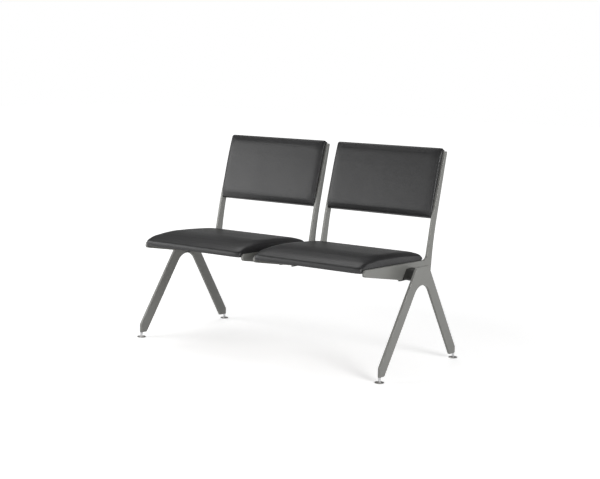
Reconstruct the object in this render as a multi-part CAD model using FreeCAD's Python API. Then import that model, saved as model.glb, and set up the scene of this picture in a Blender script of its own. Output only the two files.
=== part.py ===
import FreeCAD
import Part
import math
import os

# Two-place beam seating. Lengths are in millimetres, angles in degrees.
# X runs along the beam, -Y is the front, +Z is up, and the floor is Z = 0.
# The shapes are drawn with Y counted back from the axis of the front glides, and every
# solid is moved at the end so that the origin lies under the middle of the bench.

# Layout along the beam
seat_count = 2
seat_pitch = 560.0
plate_gap = 50.0
plate_t = 9.0

# Leg plate: a compass of two legs cut from one sheet
wheelbase = 544.0
leg_width = 47.0
front_lean = 35.1
rear_lean = 32.9
front_knee_z = 56.0
rear_knee_z = 45.0
foot_edge = 5.5
leg_bottom_z = 20.0
arch_r = 64.0
hub_top_z = 398.0
hub_corner_r = 10.0
leg_corner_r = 4.0

# Beam: a closed tapered tube whose faces follow the two legs
beam_bottom_z = 346.0
beam_h = 40.0
beam_wall = 3.0
beam_corner_r = 6.0
beam_end_clear = 0.5

# Spigot that joins a leg plate to the beam
spigot_clear = 0.4
spigot_wall = 5.0
spigot_len = 64.0
spigot_screw_r = 4.0
spigot_screw_in = 36.0
spigot_screw_spacing = 44.0

# Side plate: arm under the seat and upright behind it, one sheet
nose_tip_y = -38.0
nose_r = 13.6
arm_top_at_nose = 413.2
seat_tilt = 1.3
arm_bottom_slope = 9.2
beam_nip = 1.0
notch_clear = 0.3
heel_lean = 6.0
heel_corner_r = 12.0
rear_bend_y = 446.5
rear_bend_z = 446.0
rear_bend_rise = 81.0
rear_middle_lean = 10.2
rear_upper_lean = 13.95
upright_top_z = 820.0
front_bend_y = 438.2
front_bend_z = 562.0
front_lower_lean = 12.4
front_upper_lean = 16.65
bend_r = 900.0
upright_top_r = 5.0
seat_crook_r = 25.0

# Strap that closes the notch under the beam
strap_t = 3.0
strap_overlap = 17.0
strap_screw_in = 7.0
strap_screw_r = 2.5
strap_screw_len = 16.0

# Cross rails
seat_rail_w = 40.0
seat_rail_t = 5.0
seat_rail_ys = (95.0, 350.0)
back_rail_w = 30.0
back_rail_t = 4.0
back_rail_us = (52.0, 222.0)

# Upholstery
cover_t = 1.2
pad_side_clear = 0.5
hem_w = 24.0
seat_board_t = 12.0
seat_front_y = -52.0
seat_depth = 446.0
seat_pad_h = 52.0
seat_side_roll_w = 45.0
seat_side_roll_drop = 11.0
seat_corner_r = 24.0
back_board_t = 9.0
back_low_y = 433.8
back_low_z = 565.3
back_lean = 15.0
back_h = 277.0
back_pad_t = 27.0
back_side_roll_w = 14.0
back_side_roll_drop = 4.0
back_corner_r = 5.0
roll_steps = 6

# Fasteners of the boards
seat_screw_r = 3.0
seat_screw_in = 66.0
back_screw_r = 2.5
back_screw_in = 46.0
thread_clear = 0.05
hole_clear = 0.4
spacer_r = 8.0

# Levelling glides
glide_r = 18.0
glide_rim_h = 3.6
glide_h = 6.0
glide_hub_r = 7.5
glide_floor_t = 2.0
glide_neck_r = 3.0
glide_neck_h = 1.6
glide_head_r = 4.8
glide_thread_r = 3.0
glide_thread_in = 28.0
glide_hole_depth = 34.0
glide_stop_gap = 0.3
lock_nut_t = 5.0
hex_flats = 10.0
running_clear = 0.08
end_play = 0.15

# Derived places
seat_inner_w = seat_pitch - plate_gap - 2 * plate_t
beam_half = seat_count * seat_pitch / 2 + plate_gap / 2
leg_mid_x = beam_half + plate_t / 2
beam_top_z = beam_bottom_z + beam_h
hook_z = beam_bottom_z + beam_nip
front_reach = seat_front_y
rear_reach = wheelbase + glide_r
y_middle = (front_reach + rear_reach) / 2


def tan(angle):
    return math.tan(math.radians(angle))


def cos(angle):
    return math.cos(math.radians(angle))


def front_leg_y(z, inset=0.0):
    """Front edge of the front leg at height z, moved back square to itself by inset."""
    return -foot_edge + tan(front_lean) * (z - front_knee_z) + inset / cos(front_lean)


def rear_leg_y(z, inset=0.0):
    """Rear edge of the rear leg at height z, moved forward square to itself by inset."""
    return wheelbase + foot_edge - tan(rear_lean) * (z - rear_knee_z) - inset / cos(rear_lean)


def arm_top_z(y):
    """Top edge of the arm, which carries the seat's tilt."""
    return arm_top_at_nose - tan(seat_tilt) * (y - nose_tip_y - nose_r)


def seat_centres():
    first = -(seat_count - 1) * seat_pitch / 2
    return [first + i * seat_pitch for i in range(seat_count)]


def side_name(x):
    return "left" if x < 0 else "right"


def rounded_wire(points, x):
    """Closed outline in a YZ plane. Each point is (y, z, corner radius)."""
    count = len(points)
    corners = []
    for i in range(count):
        y, z, r = points[i]
        here = FreeCAD.Vector(x, y, z)
        before = FreeCAD.Vector(x, *points[i - 1][:2])
        after = FreeCAD.Vector(x, *points[(i + 1) % count][:2])
        if r == 0:
            corners.append((here, None, here))
            continue
        back = (before - here).normalize()
        on = (after - here).normalize()
        half = back.getAngle(on) / 2
        reach = r / math.tan(half)
        middle = here + (back + on).normalize() * (r / math.sin(half) - r)
        corners.append((here + back * reach, middle, here + on * reach))
    edges = []
    for i in range(count):
        start, middle, end = corners[i]
        if middle is not None:
            edges.append(Part.Arc(start, middle, end).toShape())
        after = corners[(i + 1) % count][0]
        if (after - end).Length > 1e-6:
            edges.append(Part.LineSegment(end, after).toShape())
    return Part.Wire(edges)


def plate(points, x, thickness):
    """Flat plate with its low X face at x."""
    return Part.Face(rounded_wire(points, x)).extrude(FreeCAD.Vector(thickness, 0, 0))


def cylinder(r, h, base, axis=FreeCAD.Vector(0, 0, 1)):
    return Part.makeCylinder(r, h, base, axis)


def hexagon(flats, h, base):
    """Hexagonal prism with two flats facing front and rear."""
    r = flats / math.sqrt(3)
    angles = [math.radians(60 * i) for i in range(7)]
    points = [base + FreeCAD.Vector(r * math.cos(a), r * math.sin(a), 0) for a in angles]
    return Part.Face(Part.makePolygon(points)).extrude(FreeCAD.Vector(0, 0, h))


def turned(profile, base):
    """Solid of revolution about a vertical axis. The profile is a list of (radius, height)."""
    points = [base + FreeCAD.Vector(r, 0, z) for r, z in profile]
    face = Part.Face(Part.makePolygon(points + points[:1]))
    return face.revolve(base, FreeCAD.Vector(0, 0, 1), 360)


# Leg plates

def leg_outline():
    bottom = leg_bottom_z
    top = hub_top_z
    front_inner = front_leg_y(bottom, leg_width)
    rear_inner = rear_leg_y(bottom, leg_width)
    rise = (rear_inner - front_inner) / (tan(front_lean) + tan(rear_lean))
    apex_y = front_inner + rise * tan(front_lean)
    return [
        (-foot_edge, bottom, leg_corner_r / 2),
        (-foot_edge, front_knee_z, leg_corner_r),
        (front_leg_y(top), top, hub_corner_r),
        (rear_leg_y(top), top, hub_corner_r),
        (wheelbase + foot_edge, rear_knee_z, leg_corner_r),
        (wheelbase + foot_edge, bottom, leg_corner_r / 2),
        (rear_inner, bottom, leg_corner_r),
        (apex_y, bottom + rise, arch_r),
        (front_inner, bottom, leg_corner_r),
    ]


def leg_plate(side):
    """One compass leg, with a threaded hole up into the end of each leg."""
    low_x = side * leg_mid_x - plate_t / 2
    solid = plate(leg_outline(), low_x, plate_t)
    for y in (0.0, wheelbase):
        mouth = FreeCAD.Vector(side * leg_mid_x, y, leg_bottom_z - 1)
        solid = solid.cut(cylinder(glide_thread_r, glide_hole_depth + 1, mouth))
    return solid


# Beam and spigots

def beam_outline(inset, corner_r):
    """Beam section, drawn in on every side by inset. Its faces are parallel to the legs."""
    low = beam_bottom_z + inset
    high = beam_top_z - inset
    to_face = leg_width / 2 + inset
    return [
        (front_leg_y(low, to_face), low, corner_r),
        (front_leg_y(high, to_face), high, corner_r),
        (rear_leg_y(high, to_face), high, corner_r),
        (rear_leg_y(low, to_face), low, corner_r),
    ]


def spigot_screw_places(side):
    x = side * (beam_half - spigot_screw_in)
    low = beam_outline(0, 0)
    middle_y = (low[0][0] + low[3][0]) / 2
    return [(x, middle_y + k * spigot_screw_spacing / 2) for k in (-1, 1)]


def beam():
    length = 2 * (beam_half - beam_end_clear)
    tube = plate(beam_outline(0, beam_corner_r), -length / 2, length)
    bore = plate(beam_outline(beam_wall, beam_corner_r - beam_wall), -length / 2 - 1, length + 2)
    tube = tube.cut(bore)
    for side in (-1, 1):
        for x, y in spigot_screw_places(side):
            start = FreeCAD.Vector(x, y, beam_bottom_z - 1)
            tube = tube.cut(cylinder(spigot_screw_r + hole_clear, beam_wall + 2, start))
    return tube


def spigot(side):
    """Stub welded to the inner face of a leg plate, inside the end of the beam."""
    outer = beam_wall + spigot_clear
    start = side * beam_half
    low_x = min(start, start - side * spigot_len)
    solid = plate(beam_outline(outer, beam_corner_r - beam_wall), low_x, spigot_len)
    hollow = plate(beam_outline(outer + spigot_wall, 1.0), low_x - 1, spigot_len + 2)
    solid = solid.cut(hollow)
    for x, y in spigot_screw_places(side):
        base = FreeCAD.Vector(x, y, beam_bottom_z)
        solid = solid.cut(cylinder(spigot_screw_r, beam_wall + spigot_wall + 5, base))
    return solid


def spigot_screws(side):
    """Button-head screws driven up through the beam's floor into the spigot."""
    screws = []
    for x, y in spigot_screw_places(side):
        shank_h = beam_wall + spigot_clear + spigot_wall + 2
        under = FreeCAD.Vector(x, y, beam_bottom_z)
        shank = cylinder(spigot_screw_r - thread_clear, shank_h, under)
        head = turned([(0, 0), (7, 0), (6.2, -2.6), (3.5, -4.2), (0, -4.2)], under)
        socket = hexagon(5, 2.4, under + FreeCAD.Vector(0, 0, -4.4))
        screws.append(shank.fuse(head).cut(socket))
    return screws


# Side plates

def arm_bottom_z(y):
    """Lower edge of the arm, tangent to the round nose."""
    touch_y = nose_tip_y + nose_r - nose_r * math.sin(math.radians(arm_bottom_slope))
    touch_z = arm_top_at_nose - nose_r - nose_r * cos(arm_bottom_slope)
    return touch_z - tan(arm_bottom_slope) * (y - touch_y)


def upright_rear_y(z):
    """Rear edge of the upright, in three runs: heel, middle and upper."""
    if z <= rear_bend_z:
        return rear_bend_y + tan(heel_lean) * (z - rear_bend_z)
    if z <= rear_bend_z + rear_bend_rise:
        return rear_bend_y + tan(rear_middle_lean) * (z - rear_bend_z)
    upper = z - rear_bend_z - rear_bend_rise
    return rear_bend_y + tan(rear_middle_lean) * rear_bend_rise + tan(rear_upper_lean) * upper


def upright_front_y(z):
    lean = front_upper_lean if z > front_bend_z else front_lower_lean
    return front_bend_y + tan(lean) * (z - front_bend_z)


def side_outline():
    """Arm and upright of a side plate, with the notch that drops over the beam."""
    notch = beam_outline(-notch_clear, 0)
    notch_r = beam_corner_r + notch_clear
    notch_top = beam_top_z + notch_clear
    to_face = leg_width / 2 - notch_clear
    arm_end_y = nose_tip_y + (arm_bottom_z(nose_tip_y) - hook_z) / tan(arm_bottom_slope)
    crook_y = upright_front_y(arm_top_z(upright_front_y(arm_top_at_nose)))
    nose_low = arm_bottom_z(nose_tip_y)
    upper_bend_z = rear_bend_z + rear_bend_rise
    return [
        (nose_tip_y, nose_low, nose_r * 0.8),
        (nose_tip_y, arm_top_z(nose_tip_y), nose_r),
        (crook_y, arm_top_z(crook_y), seat_crook_r),
        (front_bend_y, front_bend_z, bend_r),
        (upright_front_y(upright_top_z), upright_top_z, upright_top_r),
        (upright_rear_y(upright_top_z), upright_top_z, upright_top_r),
        (upright_rear_y(upper_bend_z), upper_bend_z, bend_r),
        (rear_bend_y, rear_bend_z, bend_r),
        (upright_rear_y(hook_z), hook_z, heel_corner_r),
        (rear_leg_y(hook_z, to_face), hook_z, 0),
        (notch[2][0], notch_top, notch_r),
        (notch[1][0], notch_top, notch_r),
        (front_leg_y(hook_z, to_face), hook_z, 0),
        (arm_end_y, hook_z, 0),
    ]


def strap_ends():
    low = beam_outline(-notch_clear, 0)
    return low[0][0] - strap_overlap, low[3][0] + strap_overlap


def strap_screw_ys():
    front, rear = strap_ends()
    return front + strap_screw_in, rear - strap_screw_in


def side_plate(mid_x):
    """Side plate with tapped holes for its strap screws."""
    solid = plate(side_outline(), mid_x - plate_t / 2, plate_t)
    for y in strap_screw_ys():
        base = FreeCAD.Vector(mid_x, y, hook_z - 1)
        solid = solid.cut(cylinder(strap_screw_r, strap_screw_len + 1, base))
    return solid


def strap(mid_x):
    """Flat strap under the beam, pulled up by two countersunk screws."""
    front, rear = strap_ends()
    low = FreeCAD.Vector(mid_x - plate_t / 2, front, beam_bottom_z - strap_t)
    solid = Part.makeBox(plate_t, rear - front, strap_t, low)
    for y in strap_screw_ys():
        base = FreeCAD.Vector(mid_x, y, beam_bottom_z - strap_t)
        solid = solid.cut(cylinder(strap_screw_r + hole_clear / 2, strap_t, base))
        solid = solid.cut(Part.makeCone(strap_screw_r + 1.6, strap_screw_r, 1.8, base))
    return solid


def strap_screw(mid_x, y):
    base = FreeCAD.Vector(mid_x, y, beam_bottom_z - strap_t)
    head = Part.makeCone(strap_screw_r + 1.4, strap_screw_r - thread_clear, 1.7, base)
    shank = cylinder(strap_screw_r - thread_clear, strap_screw_len, base)
    socket = hexagon(2.5, 1.2, base)
    return head.fuse(shank).cut(socket)


# Upholstered boards. A cushion is drawn flat: X across, Y along it, Z up from the board's
# underside, and then laid on the rails of the seat or of the back.

def seat_profile():
    """Points and arc middles of the seat's section, front to rear."""
    d = seat_depth
    h = seat_pad_h
    return [(0, 0), (0, 9), (2.6, h - 32), (12, h - 24), (31, h - 14.5), (66, h - 7.5),
            (d * 0.27, h - 1.5), (d * 0.43, h), (d * 0.7, h - 2.5), (d - 33, h - 7),
            (d - 9, h - 13.5), (d, h - 29), (d, 0)]


def back_profile():
    """Points and arc middles of the back's section, bottom to top."""
    t = back_pad_t
    h = back_h
    return [(0, 0), (0, t - 8), (1.5, t - 3.5), (6, t - 1), (22, t + 1.2), (48, t + 2.6),
            (h / 2, t + 4), (h - 48, t + 2.6), (h - 22, t + 1.2), (h - 6, t - 1),
            (h - 1.5, t - 3.5), (h, t - 8), (h, 0)]


def section_wire(x, points, arcs):
    """Closed section at x. arcs names the first point of each arc of three points."""
    vectors = [FreeCAD.Vector(x, y, z) for y, z in points]
    edges = []
    i = 0
    while i < len(vectors) - 1:
        if i in arcs:
            edges.append(Part.Arc(vectors[i], vectors[i + 1], vectors[i + 2]).toShape())
            i += 2
        else:
            edges.append(Part.LineSegment(vectors[i], vectors[i + 1]).toShape())
            i += 1
    edges.append(Part.LineSegment(vectors[-1], vectors[0]).toShape())
    return Part.Wire(edges)


def quarter_drop(distance, width, drop):
    """Height lost at a distance in from the edge, on a quarter ellipse."""
    if distance >= width:
        return 0.0
    return drop * (1 - math.sqrt(1 - (1 - distance / width) ** 2))


def cushion_form(points, arcs, half_w, roll_w, roll_drop, corner_r, inset):
    """Crowned cushion whose sides roll down, drawn in all round by inset."""
    length = points[-1][0]
    height = max(z for y, z in points)
    angles = [math.radians(90 * k / roll_steps) for k in range(roll_steps + 1)]
    edges_in = [roll_w * (1 - math.cos(a)) for a in angles]
    stations = [(-(half_w - d), d) for d in edges_in]
    stations += [(half_w - d, d) for d in reversed(edges_in)]
    sections = []
    for x, d in stations:
        low = 1 - quarter_drop(d, roll_w, roll_drop) / height
        end = quarter_drop(d, corner_r, corner_r)
        z_scale = (height - 2 * inset) / height * low
        y_start = inset + end * 0.45
        y_scale = (length - 2 * inset - end * 1.45) / length
        placed = [(y_start + y * y_scale, inset + z * z_scale) for y, z in points]
        sections.append(section_wire(x * (half_w - inset) / half_w, placed, arcs))
    return Part.makeLoft(sections, True, True)


def upholstery(points, arcs, board_t, roll_w, roll_drop, corner_r):
    """Cover, foam and board of one cushion, still drawn flat."""
    half_w = seat_inner_w / 2 - pad_side_clear
    length = points[-1][0]
    outer = cushion_form(points, arcs, half_w, roll_w, roll_drop, corner_r, 0)
    inner = cushion_form(points, arcs, half_w, roll_w, roll_drop, corner_r, cover_t)
    slab = Part.makeBox(2 * half_w + 20, length + 20, cover_t + board_t + 10,
                        FreeCAD.Vector(-half_w - 10, -10, -10))
    board = inner.common(slab)
    foam = inner.cut(slab)
    window = Part.makeBox(2 * (half_w - hem_w), length - 2 * hem_w, cover_t + 1,
                          FreeCAD.Vector(-half_w + hem_w, hem_w, -1))
    cover = outer.cut(inner).cut(window)
    return cover, foam, board


def laid(shape, angle, base):
    """Turn a flat-drawn shape about X and carry its origin to base."""
    copy = shape.copy()
    copy.rotate(FreeCAD.Vector(0, 0, 0), FreeCAD.Vector(1, 0, 0), angle)
    copy.translate(base)
    return copy


def seat_base(x):
    lift = arm_top_z(seat_front_y) - seat_board_t - cover_t
    return FreeCAD.Vector(x, seat_front_y, lift)


def back_base(x):
    lean = math.radians(back_lean)
    y = back_low_y + back_pad_t * math.cos(lean)
    z = back_low_z - back_pad_t * math.sin(lean)
    return FreeCAD.Vector(x, y, z)


def seat_screw_places():
    reach = seat_inner_w / 2 - seat_screw_in
    return [(k * reach, y - seat_front_y) for y in seat_rail_ys for k in (-1, 1)]


def back_screw_places():
    reach = seat_inner_w / 2 - back_screw_in
    return [(k * reach, u) for u in back_rail_us for k in (-1, 1)]


def rail(along, width, thickness, places, screw_r):
    """Flat bar between two side plates, under the hem, drilled for the screws it holds."""
    low = FreeCAD.Vector(-seat_inner_w / 2, along - width / 2, -thickness)
    bar = Part.makeBox(seat_inner_w, width, thickness, low)
    for x, y in places:
        if abs(y - along) < width / 2:
            start = FreeCAD.Vector(x, y, -thickness - 1)
            bar = bar.cut(cylinder(screw_r + hole_clear, thickness + 2, start))
    return bar


def spacer(x, y, screw_r):
    """Washer as thick as the hem, between rail and board."""
    base = FreeCAD.Vector(x, y, 0)
    return cylinder(spacer_r, cover_t, base).cut(cylinder(screw_r + hole_clear, cover_t, base))


def board_nut(x, y, screw_r, board_t):
    """Flanged nut let into the board's foam side."""
    top = cover_t + board_t
    barrel = cylinder(screw_r + 1.6, board_t - 2, FreeCAD.Vector(x, y, top - board_t + 2))
    flange = cylinder(screw_r + 6, 1.5, FreeCAD.Vector(x, y, top - 1.5))
    bore = cylinder(screw_r, board_t + 2, FreeCAD.Vector(x, y, cover_t))
    return barrel.fuse(flange).cut(bore)


def board_pocket(x, y, screw_r, board_t):
    top = cover_t + board_t
    hole = cylinder(screw_r + 1.6, board_t + 2, FreeCAD.Vector(x, y, cover_t - 1))
    return hole.fuse(cylinder(screw_r + 6, 1.5 + 1, FreeCAD.Vector(x, y, top - 1.5)))


def rail_screw(x, y, screw_r, rail_t, board_t):
    """Pan-head screw from under the rail into the board's nut."""
    under = FreeCAD.Vector(x, y, -rail_t)
    reach = rail_t + cover_t + board_t - 1.0
    shank = cylinder(screw_r - thread_clear, reach, under)
    head_r = screw_r * 1.9
    head_h = screw_r * 1.1
    dome = [(0, 0), (head_r, 0), (head_r, -head_h * 0.5), (head_r * 0.7, -head_h), (0, -head_h)]
    socket = hexagon(screw_r * 1.3, head_h * 0.6, under + FreeCAD.Vector(0, 0, -head_h - 0.1))
    return shank.fuse(turned(dome, under)).cut(socket)


# Levelling glides

def glide_places():
    return [("front_left", -leg_mid_x, 0.0), ("front_right", leg_mid_x, 0.0),
            ("rear_left", -leg_mid_x, wheelbase), ("rear_right", leg_mid_x, wheelbase)]


def glide_disc(x, y):
    """Pressed disc whose hub is closed over the head of the stem."""
    base = FreeCAD.Vector(x, y, 0)
    neck_r = glide_neck_r + running_clear
    room_r = glide_head_r + running_clear
    profile = [(0, 0), (glide_r - 1.2, 0), (glide_r, 1.2), (glide_r, glide_rim_h - 1.0),
               (glide_r - 1.4, glide_rim_h), (glide_hub_r + 1, glide_h - 1.2),
               (glide_hub_r, glide_h), (neck_r, glide_h),
               (neck_r, glide_h - glide_neck_h), (room_r, glide_h - glide_neck_h),
               (room_r, glide_floor_t), (0, glide_floor_t)]
    return turned(profile, base)


def glide_stem(x, y):
    """Threaded stem with a hexagonal collar, a neck, and a head that turns in the disc."""
    base = FreeCAD.Vector(x, y, 0)
    collar_low = glide_h + end_play
    collar_high = leg_bottom_z - lock_nut_t - glide_stop_gap
    thread_r = glide_thread_r - thread_clear
    head_low = glide_floor_t + end_play
    head_high = glide_h - glide_neck_h - end_play
    foot = turned([(0, head_low), (glide_head_r, head_low), (glide_head_r, head_high),
                   (glide_neck_r, head_high), (glide_neck_r, collar_low), (0, collar_low)], base)
    collar = hexagon(hex_flats, collar_high - collar_low, base + FreeCAD.Vector(0, 0, collar_low))
    thread_h = leg_bottom_z + glide_thread_in - collar_high
    thread = cylinder(thread_r, thread_h, base + FreeCAD.Vector(0, 0, collar_high))
    return foot.fuse(collar).fuse(thread)


def lock_nut(x, y):
    base = FreeCAD.Vector(x, y, leg_bottom_z - lock_nut_t)
    return hexagon(hex_flats, lock_nut_t, base).cut(cylinder(glide_thread_r, lock_nut_t, base))


# Assembly

def frame_parts(parts):
    for side in (-1, 1):
        name = side_name(side)
        parts["leg_plate_" + name] = leg_plate(side)
        parts["beam_spigot_" + name] = spigot(side)
        parts["spigot_screws_" + name] = spigot_screws(side)
    parts["beam"] = beam()


def side_plate_parts(parts):
    screws = []
    for seat_x in seat_centres():
        for side in (-1, 1):
            mid_x = seat_x + side * (seat_inner_w + plate_t) / 2
            name = side_name(seat_x) + "_seat_" + side_name(side)
            parts["side_plate_" + name] = side_plate(mid_x)
            parts["beam_strap_" + name] = strap(mid_x)
            screws += [strap_screw(mid_x, y) for y in strap_screw_ys()]
    parts["strap_screws"] = screws


def cushion_parts(parts, kind, set_of, base_of, angle, rails, places, screw_r, rail_t, board_t):
    """Cover, foam, board, rails and fasteners of every seat or every back."""
    cover, foam, board = set_of
    for x, y in places:
        board = board.cut(board_pocket(x, y, screw_r, board_t))
    for seat_x in seat_centres():
        side = side_name(seat_x)
        base = base_of(seat_x)
        parts[kind + "_cover_" + side] = laid(cover, angle, base)
        parts[kind + "_foam_" + side] = laid(foam, angle, base)
        parts[kind + "_board_" + side] = laid(board, angle, base)
        for rail_name, bar in rails:
            parts[kind + "_rail_" + rail_name + "_" + side] = laid(bar, angle, base)
    for name, make in (
            ("screws", lambda x, y: rail_screw(x, y, screw_r, rail_t, board_t)),
            ("spacers", lambda x, y: spacer(x, y, screw_r)),
            ("board_nuts", lambda x, y: board_nut(x, y, screw_r, board_t))):
        group = []
        for seat_x in seat_centres():
            group += [laid(make(x, y), angle, base_of(seat_x)) for x, y in places]
        parts[kind + "_" + name] = group


def seat_parts(parts):
    cushion = upholstery(seat_profile(), (1, 3, 5, 7, 9), seat_board_t, seat_side_roll_w,
                         seat_side_roll_drop, seat_corner_r)
    places = seat_screw_places()
    rails = []
    for name, y in zip(("front", "rear"), seat_rail_ys):
        bar = rail(y - seat_front_y, seat_rail_w, seat_rail_t, places, seat_screw_r)
        rails.append((name, bar))
    cushion_parts(parts, "seat", cushion, seat_base, -seat_tilt, rails, places, seat_screw_r,
                  seat_rail_t, seat_board_t)


def back_parts(parts):
    cushion = upholstery(back_profile(), (1, 3, 5, 7, 9), back_board_t, back_side_roll_w,
                         back_side_roll_drop, back_corner_r)
    places = back_screw_places()
    rails = []
    for name, u in zip(("lower", "upper"), back_rail_us):
        rails.append((name, rail(u, back_rail_w, back_rail_t, places, back_screw_r)))
    cushion_parts(parts, "back", cushion, back_base, 90 - back_lean, rails, places,
                  back_screw_r, back_rail_t, back_board_t)


def glide_parts(parts):
    for name, x, y in glide_places():
        parts["glide_disc_" + name] = glide_disc(x, y)
        parts["glide_stem_" + name] = glide_stem(x, y)
    parts["glide_lock_nuts"] = [lock_nut(x, y) for _, x, y in glide_places()]


def all_parts():
    parts = {}
    frame_parts(parts)
    side_plate_parts(parts)
    seat_parts(parts)
    back_parts(parts)
    glide_parts(parts)
    return parts


def main():
    os.makedirs("parts", exist_ok=True)
    for name, shape in all_parts().items():
        if isinstance(shape, list):
            shape = Part.makeCompound(shape)
        shape.translate(FreeCAD.Vector(0, -y_middle, 0))
        shape.exportStep("parts/" + name + ".step")
        print(name, len(shape.Solids), shape.isValid(), round(shape.Volume))


main()
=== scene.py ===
# %% [markdown]
# # Two-place beam seating
# The bench is a waiting-area seat for two: grey steel plates carry black cushions on a dark
# beam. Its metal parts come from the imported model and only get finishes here. The cushions
# are modelled anew, because foam under stretched leatherette has no hard edges anywhere.

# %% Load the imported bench
import math

import bmesh
import bpy
from mathutils import Matrix, Vector


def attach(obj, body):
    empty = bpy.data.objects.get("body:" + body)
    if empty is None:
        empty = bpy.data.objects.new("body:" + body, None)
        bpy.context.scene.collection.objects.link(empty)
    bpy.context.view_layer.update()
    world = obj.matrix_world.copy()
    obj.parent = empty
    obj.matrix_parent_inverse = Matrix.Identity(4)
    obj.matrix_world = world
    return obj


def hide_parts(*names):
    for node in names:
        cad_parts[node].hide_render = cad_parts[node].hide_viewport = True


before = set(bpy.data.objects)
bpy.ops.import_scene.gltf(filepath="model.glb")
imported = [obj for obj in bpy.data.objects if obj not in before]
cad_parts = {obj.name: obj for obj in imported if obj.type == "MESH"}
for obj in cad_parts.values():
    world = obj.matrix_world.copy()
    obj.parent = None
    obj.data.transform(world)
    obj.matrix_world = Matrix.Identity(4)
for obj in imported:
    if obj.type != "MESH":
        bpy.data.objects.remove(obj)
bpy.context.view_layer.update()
print("packed bench:", len(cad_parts), "nodes")

# %% [markdown]
# ## The camera
# A camera is an object with a lens. The lens length and the place come from lines that were
# measured on the reference, so the bench is seen under the same angle. The matrix is put
# together from three directions: to the right, up, and back towards the camera. A small
# roll turns the first two about the third.

# %% Camera
azimuth = math.radians(35.90)
elevation = math.radians(7.87)
roll = math.radians(1.30)

towards_camera = Vector((math.sin(azimuth) * math.cos(elevation),
                         -math.cos(azimuth) * math.cos(elevation),
                         math.sin(elevation)))
level_right = Vector((math.cos(azimuth), math.sin(azimuth), 0))
level_up = towards_camera.cross(level_right)
camera_right = level_right * math.cos(roll) + level_up * math.sin(roll)
camera_up = level_up * math.cos(roll) - level_right * math.sin(roll)

lens = bpy.data.cameras.new("photo_lens")
lens.sensor_width = 36.0
lens.lens = 76.68
lens.shift_x = -0.5 / 600
lens.shift_y = 0.5 / 600
lens.clip_end = 100
camera = bpy.data.objects.new("photo_camera", lens)
bpy.context.scene.collection.objects.link(camera)
turned = Matrix((camera_right, camera_up, towards_camera)).transposed().to_4x4()
camera.matrix_world = Matrix.Translation((3.015, -4.116, 1.149)) @ turned
bpy.context.scene.camera = camera
print("camera at", [round(v, 3) for v in camera.matrix_world.translation])

# %% [markdown]
# ## Small helpers for node trees
# A material is a graph of nodes. Every finish below starts from the Principled shader, so
# one helper makes the material and returns what the finish needs: the tree, a function that
# adds a node with its settings, and the shader. Another helper joins two sockets.

# %% Node helpers
def new_finish(name):
    """A material with only a Principled shader and an output."""
    finish = bpy.data.materials.new(name)
    finish.use_nodes = True
    shader = finish.node_tree.nodes["Principled BSDF"]
    return finish, finish.node_tree, shader


def add_node(tree, kind, **values):
    """Adds a node. Names of inputs with spaces are written with underscores."""
    node = tree.nodes.new(kind)
    for name, value in values.items():
        if hasattr(node, name):
            setattr(node, name, value)
        else:
            node.inputs[name.replace("_", " ")].default_value = value
    return node


def join(tree, output, socket):
    """Draws the line between two sockets."""
    tree.links.new(output, socket)


def colour_steps(tree, source, steps):
    """A Color Ramp on a grey value. Each step is (place, (red, green, blue))."""
    ramp = tree.nodes.new("ShaderNodeValToRGB")
    band = ramp.color_ramp
    while len(band.elements) < len(steps):
        band.elements.new(0.5)
    for element, (place, colour) in zip(band.elements, steps):
        element.position = place
        element.color = (*colour, 1)
    join(tree, source, ramp.inputs["Fac"])
    return ramp.outputs["Color"]


def grey_range(tree, source, low, high, from_low=0.0, from_high=1.0):
    """Moves a grey value from one range to another."""
    move = add_node(tree, "ShaderNodeMapRange", From_Min=from_low, From_Max=from_high,
                    To_Min=low, To_Max=high)
    join(tree, source, move.inputs["Value"])
    return move.outputs["Result"]


def raised(tree, shader, height, distance, strength=1.0):
    """Turns a grey value into relief on the shader."""
    bump = add_node(tree, "ShaderNodeBump", Strength=strength, Distance=distance)
    join(tree, height, bump.inputs["Height"])
    join(tree, bump.outputs["Normal"], shader.inputs["Normal"])
    return bump


print("node helpers ready")

# %% [markdown]
# ## The studio
# The bench stands on a white sweep in soft light. The floor is a large plane. What the
# camera sees of it is partly emission, so it comes out white without more light on the
# bench, and a diffuse share keeps the soft shadows. The emission rises to full white away
# from the bench, so the far edge of the floor melts into the white wall.

# %% Floor and backdrop
def seen_directly(tree, shown=None):
    """1 for what the camera meets, and for what a reflection or a view through glass meets.

    Where shown is given, the last two only count as far as it is 1."""
    rays = add_node(tree, "ShaderNodeLightPath")
    indirect = add_node(tree, "ShaderNodeMath", operation="MAXIMUM")
    join(tree, rays.outputs["Is Glossy Ray"], indirect.inputs[0])
    join(tree, rays.outputs["Is Transmission Ray"], indirect.inputs[1])
    part = add_node(tree, "ShaderNodeMath", operation="MULTIPLY")
    join(tree, indirect.outputs[0], part.inputs[0])
    part.inputs[1].default_value = 1.0
    if shown is not None:
        join(tree, shown, part.inputs[1])
    either = add_node(tree, "ShaderNodeMath", operation="MAXIMUM")
    join(tree, rays.outputs["Is Camera Ray"], either.inputs[0])
    join(tree, part.outputs[0], either.inputs[1])
    return either.outputs[0]


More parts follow.
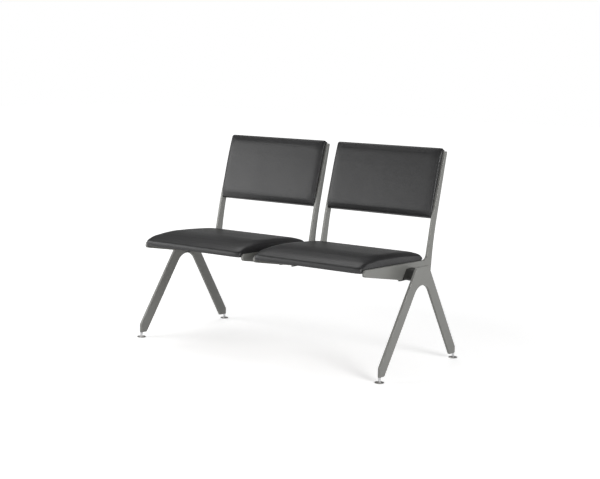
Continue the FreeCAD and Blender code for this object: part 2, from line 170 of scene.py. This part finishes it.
def white_stage(name, matte_grey, seen_grey, glow, near, far):
    """Matte floor that gives off light only to what looks at it directly.

    The glow is that near the bench, and rises to full white from near to far, in metres."""
    finish, tree, shader = new_finish(name)
    tree.nodes.remove(shader)
    matte = add_node(tree, "ShaderNodeBsdfDiffuse", Color=(*[matte_grey] * 3, 1))
    seen = add_node(tree, "ShaderNodeBsdfDiffuse", Color=(*[seen_grey] * 3, 1))
    light = add_node(tree, "ShaderNodeEmission", Color=(1, 1, 1, 1))
    place = add_node(tree, "ShaderNodeTexCoord")
    away = add_node(tree, "ShaderNodeVectorMath", operation="LENGTH")
    join(tree, place.outputs["Object"], away.inputs[0])
    join(tree, grey_range(tree, away.outputs["Value"], glow, 1.0, near, far),
         light.inputs["Strength"])
    both = add_node(tree, "ShaderNodeAddShader")
    join(tree, seen.outputs[0], both.inputs[0])
    join(tree, light.outputs[0], both.inputs[1])
    pick = add_node(tree, "ShaderNodeMixShader")
    join(tree, seen_directly(tree), pick.inputs[0])
    join(tree, matte.outputs[0], pick.inputs[1])
    join(tree, both.outputs[0], pick.inputs[2])
    join(tree, pick.outputs[0], tree.nodes["Material Output"].inputs["Surface"])
    return finish


def mesh_object(name, form, finish=None):
    """Turns a bmesh into an object in the scene and frees the bmesh."""
    mesh = bpy.data.meshes.new(name)
    form.to_mesh(mesh)
    form.free()
    thing = bpy.data.objects.new(name, mesh)
    bpy.context.scene.collection.objects.link(thing)
    if finish is not None:
        mesh.materials.append(finish)
    return thing


floor_half_width = 20
floor_drop = 0.0002  # keeps the floor from sharing a plane with the glides' discs
studio_white = white_stage("studio_white", matte_grey=0.38, seen_grey=0.80,
                           glow=0.56, near=1.0, far=3.4)

form = bmesh.new()
bmesh.ops.create_grid(form, x_segments=4, y_segments=4, size=floor_half_width)
bmesh.ops.translate(form, verts=form.verts, vec=(0, 0, -floor_drop))
floor = mesh_object("studio_floor", form, studio_white)
print("floor", [round(v, 1) for v in floor.dimensions])

# %% [markdown]
# The world is a studio room: a dim even grey that fills the shadows, with a white wall all
# round. The camera sees white wherever it looks past the floor. Reflections see the wall
# too, which is the white band just over the horizon, and the dim ceiling above it.

# %% World
world = bpy.data.worlds.new("studio_world")
bpy.context.scene.world = world
world.use_nodes = True
tree = world.node_tree
dim = tree.nodes["Background"]
dim.inputs["Color"].default_value = (1, 1, 1, 1)
dim.inputs["Strength"].default_value = 0.18
white = add_node(tree, "ShaderNodeBackground", Color=(1, 1, 1, 1), Strength=1.0)
outlook = add_node(tree, "ShaderNodeTexCoord")
upwards = add_node(tree, "ShaderNodeSeparateXYZ")
join(tree, outlook.outputs["Generated"], upwards.inputs["Vector"])
wall_top, ceiling = 0.05, 0.12  # sines of the angles over the horizon
wall = grey_range(tree, upwards.outputs["Z"], 1.0, 0.0, wall_top, ceiling)
pick = add_node(tree, "ShaderNodeMixShader")
join(tree, seen_directly(tree, wall), pick.inputs[0])
join(tree, dim.outputs[0], pick.inputs[1])
join(tree, white.outputs[0], pick.inputs[2])
join(tree, pick.outputs[0], tree.nodes["World Output"].inputs["Surface"])
print("world fill", dim.inputs["Strength"].default_value)

# %% [markdown]
# Four soft boxes do the rest. The key stands low on the right and a little to the front,
# which is where the long leg shadows on the floor come from. A wide one at the front left
# lights the backs' faces, and a smaller one in front shows in the rolls at their right
# edges. One overhead draws the soft line along the seats' front roll.

# %% Soft boxes
def soft_box(name, direction, distance, width, height, brightness, target=(0, 0, 0.45)):
    """Area lamp that faces the bench. Brightness is that of its lit surface.

    The direction is seen from the bench, and lengths are in metres."""
    lamp = bpy.data.lights.new(name, "AREA")
    lamp.shape = "RECTANGLE"
    lamp.size = width
    lamp.size_y = height
    lamp.energy = brightness * math.pi * width * height
    thing = bpy.data.objects.new(name, lamp)
    bpy.context.scene.collection.objects.link(thing)
    out = Vector(direction).normalized()
    thing.location = Vector(target) + out * distance
    thing.rotation_euler = out.to_track_quat("Z", "Y").to_euler()
    return thing


soft_box("key_right", (3.31, -0.955, 1.0), 3.1, 0.95, 0.95, 14.0)
soft_box("fill_front_left", (-0.79, -0.62, 0.30), 3.4, 3.0, 1.5, 3.6)
soft_box("fill_front", (0.12, -0.98, 0.32), 3.6, 1.6, 1.4, 2.2)
soft_box("top_box", (-0.45, 0.20, 1.0), 3.0, 2.4, 1.4, 2.2)
print("soft boxes placed")

# %% [markdown]
# ## Powder-coated steel
# The plates are laser-cut steel under a satin powder coat in a warm silver grey. Powder
# melts into a skin with a faint orange-peel relief, and metal flakes in it vary the grey
# from grain to grain. The relief and the flakes are noises on the object's own coordinates.
# The Bevel node finds the edges, and the colour is made lighter there: a painted highlight
# along every edge.

# %% Powder coat
def powder_coat(name, colour, flake, roughness, edge_highlight_gain, metal):
    """Satin coat. Flake is how far the grains stray in grey; the gain is how much lighter the
    edges are painted, as a painted highlight.
    """
    finish, tree, shader = new_finish(name)
    place = add_node(tree, "ShaderNodeTexCoord").outputs["Object"]

    clouds = add_node(tree, "ShaderNodeTexNoise", Scale=9.0, Detail=3.0)
    join(tree, place, clouds.inputs["Vector"])
    grains = add_node(tree, "ShaderNodeTexNoise", Scale=1500.0, Detail=1.0)
    join(tree, place, grains.inputs["Vector"])
    peel = add_node(tree, "ShaderNodeTexNoise", Scale=420.0, Detail=2.0)
    join(tree, place, peel.inputs["Vector"])

    shade = add_node(tree, "ShaderNodeMath", operation="ADD")
    join(tree, grey_range(tree, clouds.outputs["Fac"], -0.5, 0.5), shade.inputs[0])
    join(tree, grey_range(tree, grains.outputs["Fac"], -flake, flake), shade.inputs[1])
    dark = tuple(c * 0.90 for c in colour)
    light = tuple(c * 1.10 for c in colour)
    tone = colour_steps(tree, grey_range(tree, shade.outputs[0], 0.0, 1.0, -0.5, 0.5),
                        [(0.0, dark), (1.0, light)])

    soft = add_node(tree, "ShaderNodeBevel", samples=4, Radius=0.0016)
    face = add_node(tree, "ShaderNodeNewGeometry")
    align = add_node(tree, "ShaderNodeVectorMath", operation="DOT_PRODUCT")
    join(tree, soft.outputs["Normal"], align.inputs[0])
    join(tree, face.outputs["Normal"], align.inputs[1])
    # Painted highlight: the colour is lightened wherever the Bevel normal turns away from the
    # face's own normal, along every edge.
    edge = grey_range(tree, align.outputs["Value"], 1.0, 0.0, 0.80, 0.995)
    painted_edge_highlight = add_node(tree, "ShaderNodeMix", data_type="RGBA", blend_type="MIX")
    join(tree, edge, painted_edge_highlight.inputs["Factor"])
    join(tree, tone, painted_edge_highlight.inputs["A"])
    lit = tuple(min(1.0, c * edge_highlight_gain) for c in colour)
    painted_edge_highlight.inputs["B"].default_value = (*lit, 1)
    join(tree, painted_edge_highlight.outputs["Result"], shader.inputs["Base Color"])

    join(tree, grey_range(tree, clouds.outputs["Fac"], roughness - 0.05, roughness + 0.07),
         shader.inputs["Roughness"])
    shader.inputs["Metallic"].default_value = metal
    bump = raised(tree, shader, peel.outputs["Fac"], 0.00012, 0.6)
    join(tree, soft.outputs["Normal"], bump.inputs["Normal"])
    return finish


plate_grey = powder_coat("plate_powder_coat", (0.270, 0.270, 0.255), flake=0.22,
                         roughness=0.44, edge_highlight_gain=1.35, metal=0.25)
beam_black = powder_coat("beam_powder_coat", (0.040, 0.040, 0.037), flake=0.18,
                         roughness=0.42, edge_highlight_gain=1.6, metal=0.0)
print("powder coats", plate_grey.name, beam_black.name)

# %% [markdown]
# ## Plated steel
# Screws, spacers, nuts and the levelling stems are zinc plated. Zinc dries in small
# crystals, so a Voronoi pattern shifts the brightness from cell to cell, and a stretched
# noise gives the fine lines that turning leaves. The floor discs are nickel plated: they
# are brighter and more even, and darker in their lowest millimetres over the floor.

# %% Zinc and nickel
def plated(name, colour, crystal_scale, roughness, dark_base):
    """Metal plating. One kind is made darker, nearly black, in its lowest millimetres above the
    floor.
    """
    finish, tree, shader = new_finish(name)
    place = add_node(tree, "ShaderNodeTexCoord").outputs["Object"]
    crystals = add_node(tree, "ShaderNodeTexVoronoi", Scale=crystal_scale)
    join(tree, place, crystals.inputs["Vector"])
    stretch = add_node(tree, "ShaderNodeMapping", Scale=(60, 60, 2600))
    join(tree, place, stretch.inputs["Vector"])
    lines = add_node(tree, "ShaderNodeTexNoise", Scale=1.0, Detail=2.0)
    join(tree, stretch.outputs["Vector"], lines.inputs["Vector"])
    cell = add_node(tree, "ShaderNodeSeparateColor")
    join(tree, crystals.outputs["Color"], cell.inputs["Color"])
    tone = colour_steps(tree, cell.outputs["Red"],
                        [(0.0, tuple(c * 0.86 for c in colour)), (1.0, colour)])
    # Darker towards the bottom: the lowest millimetres above the floor turn nearly black.
    if dark_base:
        height = add_node(tree, "ShaderNodeSeparateXYZ")
        join(tree, place, height.inputs["Vector"])
        low = grey_range(tree, height.outputs["Z"], 1.0, 0.0, 0.0005, 0.0026)
        dark_base_mix = add_node(tree, "ShaderNodeMix", data_type="RGBA", blend_type="MIX")
        join(tree, low, dark_base_mix.inputs["Factor"])
        join(tree, tone, dark_base_mix.inputs["A"])
        dark_base_mix.inputs["B"].default_value = (0.045, 0.045, 0.048, 1)
        tone = dark_base_mix.outputs["Result"]
    join(tree, tone, shader.inputs["Base Color"])
    shader.inputs["Metallic"].default_value = 1.0
    join(tree, grey_range(tree, lines.outputs["Fac"], roughness - 0.07, roughness + 0.12),
         shader.inputs["Roughness"])
    raised(tree, shader, lines.outputs["Fac"], 0.00004, 0.5)
    return finish


bright_zinc = plated("bright_zinc", (0.60, 0.60, 0.61), crystal_scale=700.0,
                     roughness=0.34, dark_base=False)
glide_nickel = plated("glide_nickel", (0.66, 0.65, 0.63), crystal_scale=260.0,
                      roughness=0.30, dark_base=True)
print("plated finishes", bright_zinc.name, glide_nickel.name)

# %% [markdown]
# ## Plywood
# The boards under the cushions are birch plywood. Their faces show long grain, which is a
# noise stretched along the board, and their edges show thin layers of turned grain.

# %% Plywood
def plywood():
    finish, tree, shader = new_finish("birch_plywood")
    place = add_node(tree, "ShaderNodeTexCoord").outputs["Object"]
    stretch = add_node(tree, "ShaderNodeMapping", Scale=(5, 90, 90))
    join(tree, place, stretch.inputs["Vector"])
    grain = add_node(tree, "ShaderNodeTexNoise", Scale=1.6, Detail=7.0, Distortion=0.6)
    join(tree, stretch.outputs["Vector"], grain.inputs["Vector"])
    pores = add_node(tree, "ShaderNodeTexNoise", Scale=14.0, Detail=3.0)
    join(tree, stretch.outputs["Vector"], pores.inputs["Vector"])
    tone = colour_steps(tree, grain.outputs["Fac"],
                        [(0.30, (0.36, 0.23, 0.12)), (0.50, (0.52, 0.37, 0.21)),
                         (0.72, (0.62, 0.47, 0.30))])
    join(tree, tone, shader.inputs["Base Color"])
    join(tree, grey_range(tree, pores.outputs["Fac"], 0.55, 0.80),
         shader.inputs["Roughness"])
    raised(tree, shader, pores.outputs["Fac"], 0.0002, 0.5)
    return finish


birch = plywood()
print("wood", birch.name)

# %% [markdown]
# ## Leatherette
# The covers are smooth black leatherette. Its grain is pressed in: small rounded pebbles
# with thin valleys between them, which is what Voronoi's distance to an edge gives. Larger
# soft noises make it unevenly polished, as a sat-on cover is, and tighten and loosen the
# surface a little.

# %% Leatherette
def leatherette(name, colour, roughness):
    finish, tree, shader = new_finish(name)
    place = add_node(tree, "ShaderNodeTexCoord").outputs["Object"]
    warp = add_node(tree, "ShaderNodeTexNoise", Scale=60.0, Detail=2.0)
    join(tree, place, warp.inputs["Vector"])
    bent = add_node(tree, "ShaderNodeVectorMath", operation="MULTIPLY_ADD")
    join(tree, warp.outputs["Color"], bent.inputs[0])
    bent.inputs[1].default_value = (0.004, 0.004, 0.004)
    join(tree, place, bent.inputs[2])
    pebbles = add_node(tree, "ShaderNodeTexVoronoi", feature="DISTANCE_TO_EDGE", Scale=820.0)
    join(tree, bent.outputs[0], pebbles.inputs["Vector"])
    grain = grey_range(tree, pebbles.outputs["Distance"], 0.0, 1.0, 0.0, 0.32)
    polish = add_node(tree, "ShaderNodeTexNoise", Scale=7.0, Detail=4.0)
    join(tree, place, polish.inputs["Vector"])
    slack = add_node(tree, "ShaderNodeTexNoise", Scale=26.0, Detail=2.0)
    join(tree, place, slack.inputs["Vector"])

    dark = tuple(c * 0.55 for c in colour)
    tone = colour_steps(tree, grain, [(0.0, dark), (0.35, colour), (1.0, colour)])
    join(tree, tone, shader.inputs["Base Color"])
    gloss = add_node(tree, "ShaderNodeMath", operation="ADD")
    join(tree, grey_range(tree, polish.outputs["Fac"], roughness - 0.05, roughness + 0.05),
         gloss.inputs[0])
    join(tree, grey_range(tree, grain, 0.08, 0.0), gloss.inputs[1])
    join(tree, gloss.outputs[0], shader.inputs["Roughness"])
    shader.inputs["Specular IOR Level"].default_value = 0.5

    wave = add_node(tree, "ShaderNodeBump", Strength=0.35, Distance=0.0012)
    join(tree, slack.outputs["Fac"], wave.inputs["Height"])
    bump = raised(tree, shader, grain, 0.00009, 0.55)
    join(tree, wave.outputs["Normal"], bump.inputs["Normal"])
    return finish


black_leatherette = leatherette("black_leatherette", (0.021, 0.021, 0.022), roughness=0.35)
print("cover", black_leatherette.name)

# %% [markdown]
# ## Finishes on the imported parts
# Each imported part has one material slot, named for its finish in the record. Replacing what
# is in the slot changes the look and leaves the mesh alone. The foam and the covers get one
# too, though new cushions stand in for them later.

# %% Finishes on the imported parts
finish_of = {"plate_paint": plate_grey, "beam_paint": beam_black, "zinc_steel": bright_zinc,
             "glide_metal": glide_nickel, "plywood": birch, "leatherette": black_leatherette,
             "foam": birch}
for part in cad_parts.values():
    part.material_slots[0].material = finish_of[part.material_slots[0].material.name]
print("finished", len(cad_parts), "packed parts")

# %% [markdown]
# ## Cushions
# A cushion is a board, foam glued on it, and a cover pulled over both and stapled below.
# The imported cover, foam and board together have the right outline, so they are copied,
# laid flat, and wrapped in one even skin by the Remesh modifier. Laid flat, X runs across
# the cushion, Y along it and Z up from the board, which makes every later cut simple.

# %% Where the cushions lie
def board_corner(y, z, turn):
    """Where a board's front or lower edge lies, and its turn about X in degrees."""
    return Matrix.Translation((0, y, z)) @ Matrix.Rotation(math.radians(turn), 4, "X")


lay_of = {"seat": board_corner(-0.307, 0.400626, -1.3),
          "back": board_corner(0.20488, 0.55831, 75)}
middle_of = {"left": -0.280, "right": 0.280}


def flat_copy(kind):
    """Right-hand cushion of this kind, laid flat with its middle at X = 0."""
    form = bmesh.new()
    for layer in ("cover", "foam", "board"):
        form.from_mesh(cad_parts[f"{kind}_{layer}_right"].data)
    bmesh.ops.translate(form, verts=form.verts, vec=(-middle_of["right"], 0, 0))
    bmesh.ops.transform(form, matrix=lay_of[kind].inverted(), verts=form.verts)
    bmesh.ops.remove_doubles(form, verts=form.verts, dist=1e-6)
    return form


def settled(thing):
    """Mesh of an object with its modifiers applied; the object is removed."""
    seen = thing.evaluated_get(bpy.context.evaluated_depsgraph_get())
    mesh = bpy.data.meshes.new_from_object(seen)
    old = thing.data
    bpy.data.objects.remove(thing)
    bpy.data.meshes.remove(old)
    return mesh


def skin(kind, voxel):
    """One even skin round cover, foam and board, with points about a voxel apart."""
    thing = mesh_object(kind + "_wrap", flat_copy(kind))
    wrap = thing.modifiers.new("wrap", "REMESH")
    wrap.mode = "VOXEL"
    wrap.voxel_size = voxel
    return settled(thing)


voxel_of = {"seat": 0.005, "back": 0.004}
wrapped = {kind: skin(kind, voxel) for kind, voxel in voxel_of.items()}
for kind, mesh in wrapped.items():
    print(kind, len(mesh.vertices), "points in the skin")

# %% [markdown]
# The skin is then blown up a little as cloth, so that the foam presses evenly outwards and
# the corners pull in. The rim near the board is pinned, where the cover is stapled. What
# the cloth did is read back as a swell along each point's normal, capped and evened out
# with its neighbours, so the cushion keeps its drawn outline and gets no dents.

# %% Puff the covers
puff_frames = 10
even_turns = 10  # rounds of averaging with the neighbours
grip_fade = 0.014  # height over which the hold on the rim eases off


def puffed(kind, mesh, shrink, cap, grip):
    """Cloth under pressure, held up to the height grip. No point moves more than cap."""
    drawn = [point.co.copy() for point in mesh.vertices]
    outward = [point.normal.copy() for point in mesh.vertices]
    loose = [min(1.0, max(0.0, (place.z - grip) / grip_fade)) for place in drawn]
    beside = [[] for place in drawn]
    for edge in mesh.edges:
        first, second = edge.vertices
        beside[first].append(second)
        beside[second].append(first)

    thing = bpy.data.objects.new(kind + "_puff", mesh)
    bpy.context.scene.collection.objects.link(thing)
    held = thing.vertex_groups.new(name="held")
    for point, share, normal in zip(mesh.vertices, loose, outward):
        held.add([point.index], 1 - share, "REPLACE")
        point.co -= normal * shrink * share
    cloth = thing.modifiers.new("puff", "CLOTH")
    cloth.settings.use_pressure = True
    cloth.settings.uniform_pressure_force = 4.0
    cloth.settings.effector_weights.gravity = 0.0
    cloth.settings.vertex_group_mass = "held"
    cloth.settings.quality = 3
    cloth.point_cache.frame_start = 1
    cloth.point_cache.frame_end = puff_frames
    for step in range(1, puff_frames + 1):
        bpy.context.scene.frame_set(step)
    result = settled(thing)

    swell = [max(-cap, min(cap, (point.co - place).dot(normal)))
             for point, place, normal in zip(result.vertices, drawn, outward)]
    for turn in range(even_turns):
        swell = [(own + sum(swell[n] for n in near) / max(1, len(near))) / 2
                 for own, near in zip(swell, beside)]
    for point, place, normal, amount, share in zip(result.vertices, drawn, outward, swell,
                                                   loose):
        point.co = place + normal * amount * share
    bpy.context.scene.frame_set(1)
    return result


def refined(mesh):
    """One Subdivision Surface level, which rounds the small steps that Remesh leaves."""
    thing = bpy.data.objects.new("refine", mesh)
    bpy.context.scene.collection.objects.link(thing)
    finer = thing.modifiers.new("finer", "SUBSURF")
    finer.levels = 1
    finer.render_levels = 1
    return settled(thing)


wrapped["seat"] = refined(puffed("seat", wrapped["seat"], shrink=0.0015, cap=0.0020,
                                 grip=0.014))
wrapped["back"] = refined(puffed("back", wrapped["back"], shrink=0.0010, cap=0.0015,
                                 grip=0.012))
print("covers puffed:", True)

# %% [markdown]
# Two forms are pressed in after that. A back's face is nearly flat and rolls off
# towards its border, more at the bottom than elsewhere, and where it stands proud of the
# plates it bulges over their front edges. A seat slopes away at its rear end. Each form is
# one smooth move of the points, worked out from their distance to the border.

# %% Rolls and bulges
def ease(value):
    """Smooth step from 0 to 1."""
    value = min(1.0, max(0.0, value))
    return value * value * (3 - 2 * value)


def roll_off(distance, width, drop):
    """Height lost near a border, on a quarter ellipse."""
    if distance >= width:
        return 0.0
    return drop * (1 - math.sqrt(max(0.0, 1 - (1 - max(0.0, distance) / width) ** 2)))


back_half, back_height, back_depth = 0.2455, 0.277, 0.027
side_roll = (0.048, 0.0036)  # width of a roll and the height lost at its border
bottom_roll = (0.052, 0.0085)
top_roll = (0.032, 0.0032)
face_gain = 0.0045  # more foam behind the face, so that the rolls start from a full height
bulge = 0.0038  # on each side, over the plates' front edges
top_stretch = 0.0024


def shape_back(mesh):
    for point in mesh.vertices:
        x, y, z = point.co
        face = ease((z - back_depth + 0.014) / 0.008)
        lost = (roll_off(back_half - abs(x), *side_roll) + roll_off(y, *bottom_roll)
                + roll_off(back_height - y, *top_roll))
        plate_front = 0.0218 - 0.0073 * y / back_height  # the plates taper upwards
        proud = ease((z - plate_front - 0.0004) / 0.0020)
        point.co.z = z + (face_gain - lost) * face
        point.co.x = x * (1 + bulge / back_half * proud)
        point.co.y = y + top_stretch * ease((y - back_height + 0.030) / 0.030) * face


seat_depth = 0.446
rear_bulge, rear_drop = 0.013, 0.0060


def shape_seat(mesh):
    for point in mesh.vertices:
        y, z = point.co.y, point.co.z
        above = ease((z - 0.008) / 0.010)
        rear = ease((y - seat_depth + 0.105) / 0.105)
        point.co.y = y + rear_bulge * rear * above
        slope = ease((y - seat_depth + 0.085) / 0.085)
        point.co.z = z - rear_drop * slope * ease((z - 0.016) / 0.02)


shape_back(wrapped["back"])
shape_seat(wrapped["seat"])
print("rolls pressed in")

# %% [markdown]
# Below, the cover turns under the board as a hem. The skin is cut a little above its
# underside, and the open rim is extruded down, inwards by the hem's width and then up into
# the board, where the last ring is closed. So the edge that wraps the board is crisp, and
# the board's underside stays visible inside the hem.

# %% Turn the hems under
cut_height = 0.006
crisp_edge = 0.0008  # height at which the cover starts to turn under the board
turn_in = 0.0006
hem_width = 0.024
lid_height = 0.0030  # inside the board


def hemmed(mesh, hem):
    """Cuts the skin over its underside and turns a hem under the board."""
    form = bmesh.new()
    form.from_mesh(mesh)
    everything = list(form.verts) + list(form.edges) + list(form.faces)
    bmesh.ops.bisect_plane(form, geom=everything, plane_co=(0, 0, cut_height),
                           plane_no=(0, 0, 1), clear_inner=True, clear_outer=False)
    rim = [e for e in form.edges if e.is_boundary]
    spots = {v for e in rim for v in e.verts}
    half = max(abs(v.co.x) for v in spots)
    low = min(v.co.y for v in spots)
    high = max(v.co.y for v in spots)
    middle = Vector((0, (low + high) / 2, 0))
    inwards = Vector((1 - hem / half, 1 - 2 * hem / (high - low), 1))

    def ring(edges, sink, scale=None):
        made = bmesh.ops.extrude_edge_only(form, edges=edges)["geom"]
        points = [v for v in made if isinstance(v, bmesh.types.BMVert)]
        if scale is not None:
            bmesh.ops.scale(form, vec=scale, verts=points,
                            space=Matrix.Translation(-middle))
        for point in points:
            point.co.z = sink
        return [e for e in made if isinstance(e, bmesh.types.BMEdge)]

    rim = ring(rim, crisp_edge)
    rim = ring(rim, 0.0, Vector((1 - turn_in / half, 1 - turn_in / half, 1)))
    rim = ring(rim, 0.0, inwards)
    rim = ring(rim, lid_height)
    lid = bmesh.ops.holes_fill(form, edges=rim, sides=0)["faces"]
    bmesh.ops.triangulate(form, faces=lid)
    bmesh.ops.recalc_face_normals(form, faces=form.faces)
    for face in form.faces:
        face.smooth = True
    return form


def cushion(kind, side):
    """Puts a copy of the shaped cushion in its place on the bench."""
    form = hemmed(wrapped[kind], hem_width)
    bmesh.ops.transform(form, matrix=lay_of[kind], verts=form.verts)
    bmesh.ops.translate(form, verts=form.verts, vec=(middle_of[side], 0, 0))
    piece = mesh_object(f"{kind}_cushion_{side}", form, black_leatherette)
    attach(piece, "bench")
    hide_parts(f"{kind}_cover_{side}", f"{kind}_foam_{side}")
    print(piece.name, len(piece.data.polygons), "faces")
    return piece


cushions = [cushion(kind, side) for kind in ("seat", "back") for side in ("left", "right")]

# %% [markdown]
# ## Finish
# The colours are shown as they are, with no film look on top.

# %% Finish
bpy.context.scene.view_settings.view_transform = "Standard"
